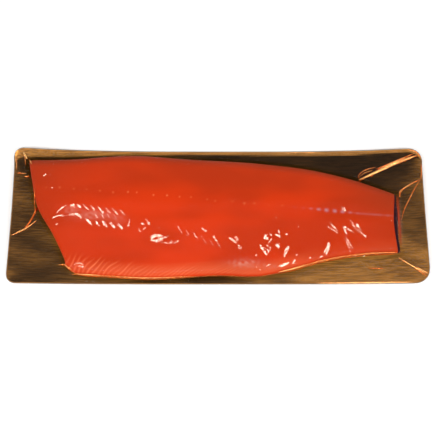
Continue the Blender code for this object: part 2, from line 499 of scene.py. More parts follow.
class NodeBench:
    """Short calls that make and join the nodes of one tree."""

    def __init__(self, tree: bpy.types.NodeTree) -> None:
        """Works on the given tree."""
        self.tree = tree

    def add(self, kind: str, **settings: object) -> bpy.types.Node:
        """Adds a node of this kind with these settings."""
        node = self.tree.nodes.new(kind)
        for key, value in settings.items():
            setattr(node, key, value)
        return node

    def feed(self, socket: bpy.types.NodeSocket, value: Value) -> None:
        """Links a socket to an output, or sets it to a number or a colour."""
        if isinstance(value, bpy.types.NodeSocket):
            self.tree.links.new(value, socket)
        elif isinstance(value, tuple) and socket.type == "RGBA":
            socket.default_value = (*value, 1.0)
        else:
            socket.default_value = value

    def math(self, operation: str, first: Value, second: Value = 0.0) -> bpy.types.NodeSocket:
        """Result of a math operation on two values."""
        node = self.add("ShaderNodeMath", operation=operation)
        self.feed(node.inputs[0], first)
        self.feed(node.inputs[1], second)
        return node.outputs[0]

    def remap(
        self, value: Value, old: tuple[Value, Value], new: tuple[Value, Value]
    ) -> bpy.types.NodeSocket:
        """A smooth step of the value from the old range to the new one."""
        node = self.add("ShaderNodeMapRange", interpolation_type="SMOOTHSTEP")
        for socket, given in zip(node.inputs[:5], (value, *old, *new)):
            self.feed(socket, given)
        return node.outputs[0]

    def blend(self, share: Value, first: Value, second: Value) -> bpy.types.NodeSocket:
        """Mixes two colours by the share of the second."""
        node = self.add("ShaderNodeMix", data_type="RGBA")
        self.feed(node.inputs[0], share)
        self.feed(node.inputs[6], first)
        self.feed(node.inputs[7], second)
        return node.outputs[2]

    def mask(self, mask: Mask) -> bpy.types.NodeSocket:
        """Reads one of the piece's own point masks."""
        return self.add("ShaderNodeAttribute", attribute_name=mask.value).outputs["Fac"]

    def group(self, tree: bpy.types.NodeTree, **values: float) -> bpy.types.NodeSocket:
        """Places a node group with these input values and gives its first output."""
        node = self.add("ShaderNodeGroup", node_tree=tree)
        for key, value in values.items():
            node.inputs[key.replace("_", " ")].default_value = value
        return node.outputs[0]

    def bump(self, height: Value, strength: float, distance: float) -> bpy.types.NodeSocket:
        """A normal bent by a height."""
        node = self.add("ShaderNodeBump")
        node.inputs["Strength"].default_value = strength
        node.inputs["Distance"].default_value = distance
        self.feed(node.inputs["Height"], height)
        return node.outputs[0]


def mottle_group() -> bpy.types.NodeTree:
    """Group that gives soft mottling in Object coordinates, drawn out along the pack.

    Returns:
        The group, made at the first call. Inputs: Size (patches per metre), Stretch and Detail.
        Output: Shade, from 0 to 1 round a middle of 0.5.
    """
    name = "soft_mottle"
    if name in bpy.data.node_groups:
        return bpy.data.node_groups[name]
    tree = bpy.data.node_groups.new(name, "ShaderNodeTree")
    for socket, start in (("Size", 60.0), ("Stretch", 1.0), ("Detail", 3.0)):
        tree.interface.new_socket(
            name=socket, in_out="INPUT", socket_type="NodeSocketFloat"
        ).default_value = start
    tree.interface.new_socket(name="Shade", in_out="OUTPUT", socket_type="NodeSocketFloat")
    bench = NodeBench(tree)
    given = bench.add("NodeGroupInput")
    place = bench.add("ShaderNodeTexCoord").outputs["Object"]
    scale = bench.add("ShaderNodeCombineXYZ")
    bench.feed(scale.inputs[0], bench.math("DIVIDE", 1.0, given.outputs["Stretch"]))
    bench.feed(scale.inputs[1], 1.0)
    bench.feed(scale.inputs[2], 1.0)
    drawn = bench.add("ShaderNodeVectorMath", operation="MULTIPLY")
    bench.feed(drawn.inputs[0], place)
    bench.feed(drawn.inputs[1], scale.outputs[0])
    noise = bench.add("ShaderNodeTexNoise")
    bench.feed(noise.inputs["Vector"], drawn.outputs[0])
    bench.feed(noise.inputs["Scale"], given.outputs["Size"])
    bench.feed(noise.inputs["Detail"], given.outputs["Detail"])
    done = bench.add("NodeGroupOutput")
    bench.feed(done.inputs[0], noise.outputs[0])
    return tree


def new_material(name: str) -> tuple[bpy.types.Material, NodeBench, bpy.types.Node]:
    """A material with only its Principled shader and output.

    Returns:
        The material, a bench on its tree, and the shader.
    """
    material = bpy.data.materials.new(name)
    material.use_nodes = True
    tree = material.node_tree
    return material, NodeBench(tree), tree.nodes["Principled BSDF"]


@dataclass(frozen=True)
class GoldFoil:
    """Foil-faced card: fine lengthwise rolling lines on gold, and board at the cut edge darkened to near
    black as painted shade.
    """

    gold: Colour = (0.90, 0.39, 0.080)
    deep_gold: Colour = (0.46, 0.185, 0.036)
    # Near-black board: the cut edge's colour is darkened as painted shade, deeper than grey-brown board.
    board: Colour = (0.035, 0.024, 0.015)
    roughness: Pair = (0.09, 0.15)
    line_depth: float = 0.00006

    def make(self) -> bpy.types.Material:
        """Builds the material."""
        material, bench, shader = new_material("gold_foil")
        broad = bench.group(mottle_group(), Size=38.0, Stretch=3.0, Detail=2.0)
        lines = bench.group(mottle_group(), Size=520.0, Stretch=26.0, Detail=2.0)
        cut = bench.mask(Mask.CUT_EDGE)
        shade = bench.remap(lines, (0.35, 0.65), (0.0, 1.0))
        tone = bench.math("MULTIPLY", bench.remap(broad, (0.30, 0.70), (0.50, 1.0)), shade)
        foil = bench.blend(tone, self.gold, self.deep_gold)
        # The cut edge mask brings in the darkened board: painted shade.
        bench.feed(shader.inputs["Base Color"], bench.blend(cut, foil, self.board))
        bench.feed(shader.inputs["Metallic"], bench.remap(cut, (0.0, 1.0), (1.0, 0.1)))
        rough = bench.remap(broad, (0.3, 0.7), self.roughness)
        bench.feed(shader.inputs["Roughness"], bench.math("ADD", rough, bench.math("MULTIPLY", cut, 0.5)))
        bench.feed(shader.inputs["Normal"], bench.bump(lines, 0.35, self.line_depth))
        return material


@dataclass(frozen=True)
class SmokedFlesh:
    """Moist smoked salmon: deep orange-red, pale fat lines, browned back, grey line down the middle."""

    flesh: Colour = (0.56, 0.033, 0.0040)
    deep: Colour = (0.44, 0.028, 0.0040)
    brown: Colour = (0.30, 0.034, 0.010)
    fat: Colour = (0.86, 0.22, 0.085)
    grey: Colour = (0.42, 0.16, 0.16)
    spot: Colour = (0.80, 0.20, 0.07)
    roughness: Pair = (0.42, 0.55)

    def make(self) -> bpy.types.Material:
        """Builds the material."""
        material, bench, shader = new_material("smoked_flesh")
        broad = bench.group(mottle_group(), Size=26.0, Stretch=2.6, Detail=1.5)
        fine = bench.group(mottle_group(), Size=150.0, Stretch=3.0, Detail=1.0)
        tone = bench.remap(broad, (0.32, 0.68), (0.0, 1.0))
        colour = bench.blend(tone, self.flesh, self.deep)
        colour = bench.blend(bench.mask(Mask.BROWN), colour, self.brown)
        colour = bench.blend(bench.mask(Mask.FAT), colour, self.fat)
        colour = bench.blend(bench.mask(Mask.GREY), colour, self.grey)
        colour = bench.blend(bench.mask(Mask.SPOT), colour, self.spot)
        bench.feed(shader.inputs["Base Color"], colour)
        bench.feed(shader.inputs["Roughness"], bench.remap(broad, (0.3, 0.7), self.roughness))
        bench.feed(shader.inputs["Normal"], bench.bump(fine, 0.08, 0.0004))
        shader.inputs["Specular IOR Level"].default_value = 0.03
        shader.inputs["Subsurface Weight"].default_value = 0.12
        shader.inputs["Subsurface Scale"].default_value = 0.002
        shader.inputs["Subsurface Radius"].default_value = (1.0, 0.25, 0.1)
        return material


@dataclass(frozen=True)
class FishSkin:
    """Scaled skin, dark blue-grey with a violet cast and silvery flecks."""

    dark: Colour = (0.022, 0.006, 0.010)
    pale: Colour = (0.10, 0.03, 0.05)
    roughness: Pair = (0.28, 0.48)

    def make(self) -> bpy.types.Material:
        """Builds the material."""
        material, bench, shader = new_material("fish_skin")
        flecks = bench.group(mottle_group(), Size=420.0, Stretch=1.6, Detail=2.0)
        broad = bench.group(mottle_group(), Size=70.0, Stretch=1.0, Detail=2.0)
        share = bench.math("MULTIPLY", bench.remap(flecks, (0.5, 0.75), (0.0, 1.0)), broad)
        bench.feed(shader.inputs["Base Color"], bench.blend(share, self.dark, self.pale))
        bench.feed(shader.inputs["Roughness"], bench.remap(broad, (0.3, 0.7), self.roughness))
        bench.feed(shader.inputs["Normal"], bench.bump(flecks, 0.25, 0.0003))
        shader.inputs["Specular IOR Level"].default_value = 0.12
        return material


@dataclass(frozen=True)
class ClearFilm:
    """Drawn clear film: only its gloss shows, with painted pale sheen on the fish and card, and juice
    beneath.
    """

    name: str = "clear_film"
    clear: Colour = (1.0, 1.0, 1.0)
    juice: Colour = (0.34, 0.030, 0.008)
    # Pale pink of the painted sheen: a diffuse colour that stands for the film's reflection.
    painted_sheen: Colour = (0.90, 0.55, 0.42)
    ior: float = 1.49
    painted_sheen_share: float = 0.42
    juice_share: float = 0.90
    smooth: float = 0.07
    frosted: float = 0.50
    uneven: Pair = (0.45, 1.3)

    def make(self) -> bpy.types.Material:
        """Builds the material: a coat whose cover is its gloss plus the painted sheen and the juice.

        The gloss's part of that cover is a mirror, and the rest is diffuse: the painted sheen's pale pink,
        turning to juice red where juice lies.
        """
        material, bench, shader = new_material(self.name)
        painted_sheen = bench.mask(Mask.PAINTED_SHEEN)
        juice = bench.mask(Mask.JUICE)
        fresnel = bench.add("ShaderNodeFresnel")
        fresnel.inputs["IOR"].default_value = self.ior
        inside = bench.add("ShaderNodeNewGeometry").outputs["Backfacing"]
        uneven = bench.remap(bench.group(mottle_group(), Size=260.0, Detail=1.0), (0.35, 0.65), self.uneven)
        # Cover of painted sheen plus juice stain.
        sheen_and_juice = bench.math(
            "ADD",
            bench.math("MULTIPLY", painted_sheen, self.painted_sheen_share),
            bench.math("MULTIPLY", juice, self.juice_share),
        )
        gloss = bench.math("MULTIPLY", fresnel.outputs[0], bench.mask(Mask.GLOSS))
        gloss = bench.math("MULTIPLY", gloss, uneven)
        share = bench.math("ADD", gloss, sheen_and_juice)
        sheen_and_juice_part = bench.math("DIVIDE", sheen_and_juice, bench.math("MAXIMUM", share, 0.0001))
        sheen_and_juice_colour = bench.blend(bench.remap(juice, (0.0, 0.05), (0.0, 1.0)), self.painted_sheen, self.juice)
        bench.feed(shader.inputs["Base Color"], bench.blend(sheen_and_juice_part, self.clear, sheen_and_juice_colour))
        bench.feed(shader.inputs["Metallic"], bench.math("SUBTRACT", 1.0, sheen_and_juice_part))
        bench.feed(shader.inputs["Roughness"], bench.remap(sheen_and_juice_part, (0.0, 1.0), (self.smooth, self.frosted)))
        share = bench.math("MULTIPLY", share, bench.math("SUBTRACT", 1.0, inside))
        bench.feed(shader.inputs["Alpha"], bench.math("MINIMUM", share, 1.0))
        shader.inputs["Specular IOR Level"].default_value = 0.1
        return material


@dataclass(frozen=True)
class FoldedFilm:
    """Doubled film that stands in a fold, its colour a painted highlight and painted reflection of the gold
    card.
    """

    name: str = "folded_film"
    # Painted highlight and painted reflection of the gold card, on a film that is clear.
    painted_highlight_cream: Colour = (1.0, 0.60, 0.22)
    painted_gold_reflection: Colour = (0.80, 0.17, 0.025)
    roughness: float = 0.24
    cover: Pair = (0.25, 0.95)

    def make(self) -> bpy.types.Material:
        """Builds the material.

        The reflection tint mask turns the painted cream highlight to the painted amber reflection of the
        gold, and the gloss mask says how dense it is.
        """
        material, bench, shader = new_material(self.name)
        fine = bench.group(mottle_group(), Size=330.0, Stretch=1.5, Detail=1.0)
        reflection_tint = bench.math("ADD", bench.mask(Mask.REFLECTION_TINT), bench.remap(fine, (0.3, 0.7), (-0.22, 0.22)))
        bench.feed(shader.inputs["Base Color"], bench.blend(reflection_tint, self.painted_highlight_cream, self.painted_gold_reflection))
        bench.feed(shader.inputs["Alpha"], bench.remap(bench.mask(Mask.GLOSS), (0.0, 1.0), self.cover))
        shader.inputs["Metallic"].default_value = 0.85
        shader.inputs["Roughness"].default_value = self.roughness
        return material


@dataclass(frozen=True)
class StudioFloor:
    """Plain pale floor."""

    pale: Colour = (0.93, 0.93, 0.92)

    def make(self) -> bpy.types.Material:
        """Builds the material."""
        material, bench, shader = new_material("pale_floor")
        patches = bench.group(mottle_group(), Size=3.0, Stretch=1.0, Detail=2.0)
        share = bench.remap(patches, (0.3, 0.7), (0.0, 0.02))
        bench.feed(shader.inputs["Base Color"], bench.blend(share, self.pale, (0.8, 0.8, 0.8)))
        shader.inputs["Roughness"].default_value = 0.8
        return material


# ---------------------------------------------------------------------------------------------------
# Pieces
# ---------------------------------------------------------------------------------------------------


def dress(piece: bpy.types.Object, finish: bpy.types.Material, slot: str, nodes: Sequence[str]) -> None:
    """Gives a piece its material, logs its slot and triangle count, hides the CAD nodes it stands for, and
    lets it ride the pack.
    """
    piece.data.materials.append(finish)
    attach(piece, "root")
    if nodes:
        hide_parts(*nodes)
    triangles = sum(len(face.vertices) - 2 for face in piece.data.polygons)
    LOG.info("%s: %d triangles, slot %s", piece.name, triangles, slot)


@dataclass(frozen=True)
class GoldCard:
    """The gold-faced card with its pressed rim."""

    form: PackForm
    columns: int = 300
    rows: int = 90
    edge_round: float = 0.0004
    back_rim: Stations = (
        (-0.300, 0.0150),
        (-0.230, 0.0140),
        (-0.150, 0.0090),
        (0.000, 0.0075),
        (0.300, 0.0075),
    )
    back_rim_slope: float = 0.20
    back_rim_power: float = 1.4
    dent: float = 0.00007
    dent_stretch: float = 0.35
    dent_size: float = 0.030

    def rim_rise(self, x: Array, y: Array) -> Array:
        """Lift of the pressed back rim: a power of the share of its width, times slope and width."""
        width = smooth_curve(self.back_rim, x)
        share = np.clip(1 - (self.form.outline(x, Side.BACK, 0.0) - y) / width, 0, 1)
        return self.back_rim_slope * width * share**self.back_rim_power

    def top(self, x: Array, y: Array) -> Array:
        """Height of the gold face: the bow, the rim, and shallow dents that run along the card."""
        dents = self.dent * waves(x * self.dent_stretch, y, SEED + 1, self.dent_size)
        return self.form.bow(x, y) + self.form.card_top + self.rim_rise(x, y) + dents

    def build(self) -> bpy.types.Object:
        """Builds and dresses the card."""
        form = self.form
        x, y = form.sheet(self.columns, self.rows, -self.edge_round)
        outer_x, outer_y = form.sheet(self.columns, self.rows, 0.0)
        face = np.stack([x, y, self.top(x, y)], axis=-1)
        shoulder = np.stack([outer_x, outer_y, self.top(outer_x, outer_y) - self.edge_round], axis=-1)
        under = self.form.bow(x, y) + form.card_bottom + self.rim_rise(x, y)
        hem = np.stack([outer_x, outer_y, form.bow(outer_x, outer_y) + form.card_bottom], axis=-1)
        hem[..., 2] += self.rim_rise(outer_x, outer_y) + self.edge_round
        base = np.stack([x, y, under], axis=-1)
        shell = slab_shell([face, shoulder, hem, base], {}, 6)
        # Cut edge mask: the rim's walls take the board colour, darkened as painted shade.
        cut = np.zeros(len(shell.points))
        border = 2 * (self.columns + self.rows) - 4
        start = self.columns * self.rows
        cut[start : start + 2 * border] = 1.0
        # The face's outer row takes it as well: a painted shade line along the rim.
        rim = np.zeros((self.columns, self.rows), bool)
        rim[[0, -1], :] = True
        rim[:, [0, -1]] = True
        cut[:start][rim.reshape(-1)] = 1.0
        shell.masks[Mask.CUT_EDGE] = cut
        piece = shell.to_object("gold_card", 30.0)
        dress(piece, GoldFoil().make(), "gold_card", ["board"])
        return piece


@dataclass(frozen=True)
class SkinLayer:
    """The skin under the flesh, which shows past the flesh at the tail."""

    form: PackForm
    columns: int = 220
    rows: int = 60
    thickness: float = 0.0010
    tail_edge: float = 0.2597
    tail_wave: float = 0.0006

    def build(self) -> bpy.types.Object:
        """Builds and dresses the skin."""
        form = self.form
        s, v = np.meshgrid(eased(self.columns, 0.4), eased(self.rows, 0.3), indexing="ij")
        edge = self.tail_edge + self.tail_wave * np.sin(2 * np.pi * (1.6 * v + 0.2))
        x, y = form.fillet_plan(s, v, edge)
        low = form.bow(x, y) + form.skin_bottom
        top = np.stack([x, y, low + self.thickness], axis=-1)
        base = np.stack([x, y, low], axis=-1)
        piece = slab_shell([top, base], {}, 6).to_object("fish_skin")
        dress(piece, FishSkin().make(), "skin", ["skin"])
        return piece


@dataclass(frozen=True)
class FatLines:
    """Pale fat between the muscle blocks of the belly, leaning towards the tail."""

    spacing: float = 0.0072
    line_share: float = 0.14
    reach: Stations = ((-0.225, 0.030), (-0.150, 0.024), (-0.060, 0.017), (0.060, 0.009))
    lean: Stations = ((-0.225, 0.45), (-0.150, 0.95), (-0.060, 1.60), (0.060, 2.4))
    strength: Stations = ((-0.232, 0.0), (-0.205, 0.42), (-0.120, 0.46), (-0.040, 0.42), (0.080, 0.16))
    band: Stations = ((-0.230, 0.04), (-0.150, 0.17), (0.000, 0.18), (0.080, 0.20), (0.150, 0.05))

    def at(self, x: Array, inward: Array) -> Array:
        """How fatty the flesh is.

        The line's phase is x less the lean times the distance in from the belly edge, over the spacing,
        and a bell round each whole phase makes the line. A soft band lies under the lines.

        Args:
            x: Positions along the pack.
            inward: Distance in from the belly edge.

        Returns:
            The fat mask, from 0 to 1.
        """
        wander = 0.0016 * waves(x, inward, SEED + 2, 0.040)
        phase = (x + wander - smooth_curve(self.lean, x) * inward) / self.spacing
        off = np.abs(phase - np.round(phase))
        rng = np.random.default_rng(SEED + 3)
        vary = rng.uniform(0.35, 1.0, 400)[np.round(phase).astype(int) % 400]
        reach = smooth_curve(self.reach, x) * (0.75 + 0.5 * vary)
        fade = smoothstep(0.0, 0.003, inward) * (1 - smoothstep(0.35, 1.0, inward / reach))
        lines = bell(off, self.line_share) * fade * vary * smooth_curve(self.strength, x)
        band = smooth_curve(self.band, x) * smoothstep(0.0, 0.004, inward)
        band = band * (1 - smoothstep(0.010, 0.024, inward))
        return np.clip(lines + band, 0, 1)


@dataclass(frozen=True)
class Flesh:
    """The side of salmon itself."""

    form: PackForm
    fat: FatLines = FatLines()
    columns: int = 470
    rows: int = 150
    pin_bones: Stations = (
        (-0.245, 0.036),
        (-0.175, 0.031),
        (-0.070, 0.024),
        (-0.015, 0.018),
        (0.063, 0.012),
    )
    pin_bone_count: int = 19
    middle: Stations = ((0.100, 0.0095), (0.133, 0.007), (0.175, 0.003), (0.204, 0.000), (0.253, -0.004))
    middle_strength: Stations = (
        (0.095, 0.0),
        (0.125, 0.25),
        (0.156, 1.00),
        (0.178, 0.85),
        (0.200, 0.45),
        (0.240, 0.35),
        (0.256, 0.1),
    )

    def grey_line(self, x: Array, y: Array) -> Array:
        """The grey line along the middle: a bell across it, broken into dots where it starts."""
        dots = (0.5 + 0.5 * np.cos(2 * np.pi * (x - 0.156) / 0.0115)) ** 1.3
        dots = dots + (0.7 - dots) * smoothstep(0.188, 0.212, x)
        dots = dots * (1 + 0.35 * waves(x, 0 * x, SEED + 7, 0.009))
        width = 0.0013 + 0.0010 * bell(x - 0.162, 0.018)
        strength = np.where(x > self.middle[0][0], smooth_curve(self.middle_strength, x), 0.0)
        return bell(y - smooth_curve(self.middle, x), width) * dots * strength

    def bone_spots(self, x: Array, y: Array) -> Array:
        """Small pale spots where the pin bones were drawn, strung along a curve with some wander."""
        rng = np.random.default_rng(SEED + 4)
        places = np.linspace(self.pin_bones[0][0], self.pin_bones[-1][0] + 0.03, self.pin_bone_count)
        places = places + rng.uniform(-0.004, 0.004, self.pin_bone_count)
        across = smooth_curve(self.pin_bones, places) + rng.uniform(-0.0015, 0.0015, self.pin_bone_count)
        sizes = rng.uniform(0.0007, 0.0011, self.pin_bone_count)
        depth = rng.uniform(0.4, 1.0, self.pin_bone_count)
        away = np.hypot(x[..., None] - places, y[..., None] - across)
        return (bell(away, sizes) * depth).max(axis=-1)

    def masks(self, v: Array, x: Array, y: Array) -> dict[Mask, Array]:
        """All the flesh's masks on its grid."""
        inward = y - smooth_curve(self.form.belly_edge, x)
        brown = 0.75 * smoothstep(0.90, 1.0, v) + 0.28 * smoothstep(0.55, 0.92, v)
        brown = brown + 0.25 * smoothstep(0.10, 0.26, x) * smoothstep(0.3, 0.7, v)
        brown = brown + 0.25 * smoothstep(0.17, 0.25, x) + 0.25 * (1 - smoothstep(-0.26, -0.15, x))
        return {
            Mask.FAT: self.fat.at(x, inward),
            Mask.BROWN: np.clip(brown, 0, 1),
            Mask.GREY: self.grey_line(x, y),
            Mask.SPOT: self.bone_spots(x, y),
        }

    def build(self) -> bpy.types.Object:
        """Builds and dresses the flesh."""
        form = self.form
        s, v = np.meshgrid(eased(self.columns, 0.25), eased(self.rows, 0.35), indexing="ij")
        x, y = form.fillet_plan(s, v)
        base = form.bow(x, y) + form.flesh_bottom
        height = form.flesh_height(s, v)
        rings = [np.stack([x, y, base + height * share], axis=-1) for share in (1.0, 0.5, 0.0)]
        piece = slab_shell(rings, self.masks(v, x, y), 10).to_object("salmon_flesh", 65.0)
        dress(piece, SmokedFlesh().make(), "flesh", ["flesh"])
        return piece


@dataclass(frozen=True)
class Fold:
    """One raised fold or wrinkle of film, along a smooth path."""

    path: tuple[Pair, ...]
    half_width: float
    height: float = 0.00002
    reflection_tint: float = 0.0
    gloss: float = 1.0
    blunt: float = 0.6
    lean: float = 0.0
    facet: bool = False


@dataclass(frozen=True)
class FilmEnvelope:
    """The clear film all round the pack: front web, rolled rim and back web in one closed skin."""

    form: PackForm
    columns: int = 430
    rows: int = 160
    rim_steps: int = 5
    # Patches of painted pale sheen on the film over the fish: x, y, half length, half width and strength.
    painted_sheen_patches: tuple[tuple[float, float, float, float, float], ...] = (
        (-0.1780, -0.0045, 0.0240, 0.0060, 0.34),
        (-0.2080, 0.0020, 0.0110, 0.0050, 0.30),
        (-0.1450, -0.0100, 0.0120, 0.0060, 0.18),
        (0.0380, -0.0720, 0.0200, 0.0055, 0.34),
        (0.0700, -0.0760, 0.0160, 0.0035, 0.18),
    )
    fish_gloss: float = 0.12
    edge_gloss: float = 0.02
    card_gloss: float = 0.60
    # A faint painted sheen over the card, standing for the film's reflection on the dark gold.
    card_painted_sheen: float = 0.014
    juice_edge: float = 0.2617
    juice_width: float = 0.0021
    juice_span: Pair = (-0.046, 0.029)

    def masks(self, x: Array, y: Array) -> dict[Mask, Array]:
        """Painted sheen in patches and faintly over the card, juice against the tail, and how much of the
        gloss shows.
        """
        away = self.form.off_fish(x, y)
        painted_sheen = self.card_painted_sheen * smoothstep(0.004, 0.009, away)
        for along, across, half_length, half_width, strength in self.painted_sheen_patches:
            patch = bell(x - along, half_length) * bell(y - across, half_width)
            painted_sheen = np.maximum(painted_sheen, strength * patch * (1 + 0.6 * waves(x, y, SEED + 5, 0.006)))
        low, high = self.juice_span
        middle = (low + high) / 2
        bulge = np.sqrt(np.clip(1 - ((y - middle) / (high - middle)) ** 2, 0, 1))
        juice = bulge * bell(x - self.juice_edge, self.juice_width)
        s, v = self.form.shares(x, y)
        inside = smoothstep(0.05, 0.20, np.minimum(np.minimum(s, 1 - s) * 3, np.minimum(v, 1 - v)))
        on_fish = self.edge_gloss + (self.fish_gloss - self.edge_gloss) * inside
        gloss = on_fish + (self.card_gloss - on_fish) * smoothstep(0.006, 0.011, away)
        return {Mask.PAINTED_SHEEN: np.clip(painted_sheen, 0, 1), Mask.JUICE: juice, Mask.GLOSS: gloss}

    def build(self) -> bpy.types.Object:
        """Builds and dresses the film. Its rim is a half ellipse from the front web to the back web."""
        form = self.form
        reach = form.rim_half_length - form.length / 2
        inner_x, inner_y = form.sheet(self.columns, self.rows, 0.0)
        top = form.film_level(inner_x, inner_y)
        card = GoldCard(form)
        top = top + card.rim_rise(inner_x, inner_y)
        low = form.bow(inner_x, inner_y) + form.card_bottom - 0.0006 + card.rim_rise(inner_x, inner_y)
        rings = [np.stack([inner_x, inner_y, top], axis=-1)]
        for turn in np.linspace(0, np.pi, self.rim_steps + 2)[1:-1]:
            x, y = form.sheet(self.columns, self.rows, reach * math.sin(turn))
            share = 0.5 + 0.5 * math.cos(turn)
            rings.append(np.stack([x, y, low + (top - low) * share], axis=-1))
        rings.append(np.stack([inner_x, inner_y, low], axis=-1))
        piece = slab_shell(rings, self.masks(inner_x, inner_y), 8).to_object("clear_film", 80.0)
        piece.visible_shadow = False
        dress(piece, ClearFilm().make(), "film", ["film_front", "film_back"])
        return piece


@dataclass(frozen=True)
class FoldMaker:
    """Turns folds into one closed mesh each: a flattened round section carried along the path."""

    form: PackForm
    steps: int = 26
    section: int = 12
    sink: float = 0.25
    glint_slope: float = 0.315
    glint_gap: float = 0.00005

    def glint_level(self, x: Array, y: Array) -> Array:
        """Level of a facet that stands up from the film, so that it shines.

        Along the pack it follows the film. Across, it is straight: its slope is a constant plus its middle's
        own y, which turns each facet to the same lamp. It is raised until it clears the film.
        """
        middle = (y.min() + y.max()) / 2
        slope = self.glint_slope + middle
        level = self.form.film_level(x, np.full(x.shape, middle)) + slope * (y - middle)
        return level + max(float((self.form.film_level(x, y) - level).max()), 0.0) + self.glint_gap

    def one(self, fold: Fold) -> tuple[Array, Array, list[list[int]]]:
        """Points, share along, and faces of one fold.

        The section at share t is an ellipse, its width and height times sin(pi t) to the blunt power, with
        t first raised to a power that leans the widest place to one end. Its lower half is sunk into the
        film, and the film's own level carries it.

        Args:
            fold: The fold to make.

        Returns:
            The points, the share along the path of each, and the faces.
        """
        corners = np.array(fold.path)
        chord = np.concatenate([[0], np.cumsum(np.hypot(*np.diff(corners, axis=0).T))])
        chord = chord / chord[-1]
        t = np.linspace(0, 1, self.steps)
        x, y = (smooth_curve(tuple(zip(chord, corners[:, k])), t) for k in range(2))
        along = np.stack([np.gradient(x), np.gradient(y)], axis=-1)
        along /= np.linalg.norm(along, axis=-1, keepdims=True)
        skewed = t ** math.exp(fold.lean)
        size = np.maximum(np.sin(np.pi * np.clip(skewed, 0.02, 0.98)) ** fold.blunt, 0.05)
        turn = np.linspace(0, 2 * np.pi, self.section, endpoint=False)
        across = fold.half_width * size[:, None] * np.cos(turn)
        rise = np.sin(turn)
        rise = fold.height * size[:, None] * np.where(rise > 0, rise, self.sink * rise)
        px = x[:, None] + along[:, 1:2] * across
        py = y[:, None] - along[:, 0:1] * across
        pz = (self.glint_level(px, py) if fold.facet else self.form.film_level(px, py)) + rise
        index = np.arange(self.steps * self.section).reshape(self.steps, self.section)
        wrapped = np.roll(index, -1, axis=1)
        quads = np.stack([index[:-1], index[1:], wrapped[1:], wrapped[:-1]], axis=-1).reshape(-1, 4)
        faces = [*quads.tolist(), index[0].tolist(), index[-1, ::-1].tolist()]
        points = np.stack([px, py, pz], axis=-1).reshape(-1, 3)
        return points, np.repeat(t, self.section), faces

    def build(self, name: str, folds: Sequence[Fold], finish: bpy.types.Material) -> bpy.types.Object:
        """Builds and dresses a set of folds as one piece."""
        points: list[Array] = []
        reflection_tint: list[Array] = []
        gloss: list[Array] = []
        faces: list[list[int]] = []
        start = 0
        for fold in folds:
            ring, t, own = self.one(fold)
            points.append(ring)
            reflection_tint.append(np.full(len(ring), fold.reflection_tint) + 0.25 * (np.abs(2 * t - 1) - 0.5))
            gloss.append(fold.gloss * smoothstep(0.0, 0.15, 1 - np.abs(2 * t - 1)))
            faces.extend([[start + k for k in face] for face in own])
            start += len(ring)
        masks = {Mask.REFLECTION_TINT: np.concatenate(reflection_tint), Mask.GLOSS: np.concatenate(gloss)}
        piece = Shell(np.vstack(points), faces, masks).to_object(name, 80.0)
        piece.visible_shadow = False
        dress(piece, finish, "film", [])
        return piece


